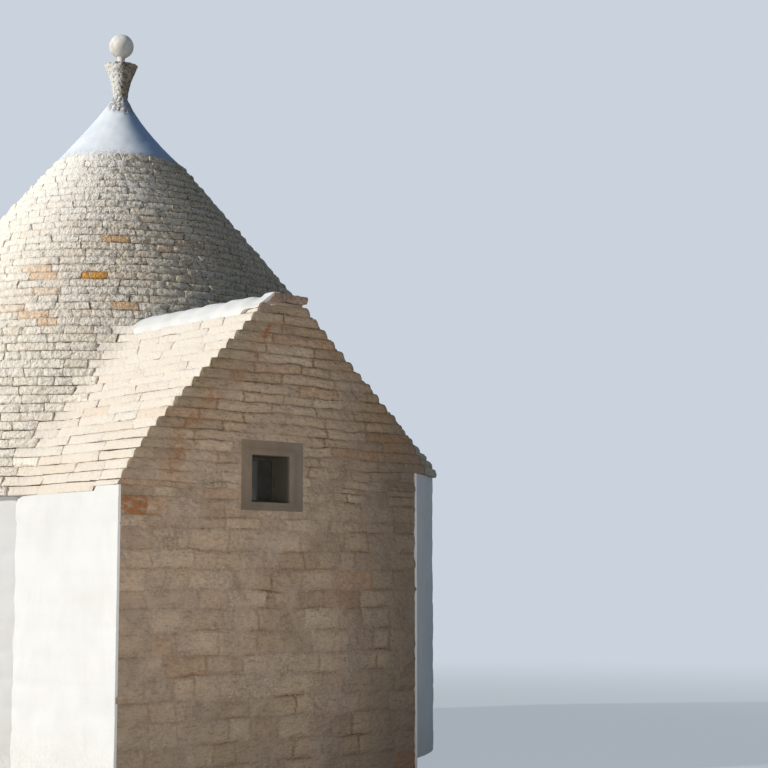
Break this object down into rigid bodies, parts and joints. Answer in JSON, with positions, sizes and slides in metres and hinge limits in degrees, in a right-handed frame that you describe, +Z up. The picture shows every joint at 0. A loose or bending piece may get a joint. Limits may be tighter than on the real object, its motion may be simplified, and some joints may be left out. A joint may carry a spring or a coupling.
{
  "type": "trullo house",
  "caption": "Round dry-stone house under a cone of limestone slabs with a ball finial, a gabled alcove wing with a small window and a doorway at the back.",
  "frame": {"origin": "on the cone's axis, at ground level under the round room", "axes": "+Z up, the gabled wing faces -Y, the doorway faces +Y"},
  "size_m": [6.5334, 7.119, 7.048],
  "materials": {
    "limewash": "matte",
    "plaster": "matte",
    "roof_slabs": "matte",
    "rubble": "matte",
    "vault_stone": "matte",
    "paving_stone": "matte",
    "dressed_stone": "matte",
    "weathered_stone": "matte",
    "window_render": "matte",
    "timber": "matte",
    "glass": "gloss"
  },
  "bodies": {
    "root": {"floor": "paving_stone", "wall_segment_1": "limewash", "wall_segment_2": "limewash", "wall_segment_3": "limewash", "wall_segment_4": "limewash", "wall_segment_5": "limewash", "wall_segment_6": "limewash", "wall_segment_7": "limewash", "wall_over_doorway": "limewash", "door_jambs": "dressed_stone", "door_lintel": "dressed_stone", "door_threshold": "dressed_stone", "door_frame": "timber", "door_leaf": "timber", "gable_wall": "rubble", "gable_flank_left": "rubble", "gable_flank_right": "rubble", "gable_peak": "rubble", "wing_wall_left": "limewash", "wing_wall_right": "limewash", "alcove_vault": "vault_stone", "wing_roof_left": "roof_slabs", "wing_roof_right": "roof_slabs", "ridge_capping": "plaster", "gable_capstone": "dressed_stone", "window_lintel": "window_render", "window_sill": "window_render", "window_jambs": "window_render", "window_frame": "timber", "window_glass": "glass", "cone_vault": "vault_stone", "closing_slab": "vault_stone", "eaves_courses": "roof_slabs", "cone_courses_1": "roof_slabs", "cone_courses_2": "roof_slabs", "cone_courses_3": "roof_slabs", "cone_courses_4": "roof_slabs", "cone_courses_5": "roof_slabs", "plaster_cap": "plaster", "pinnacle_cup": "weathered_stone", "pinnacle_ball": "plaster"}
  },
  "joints": []
}
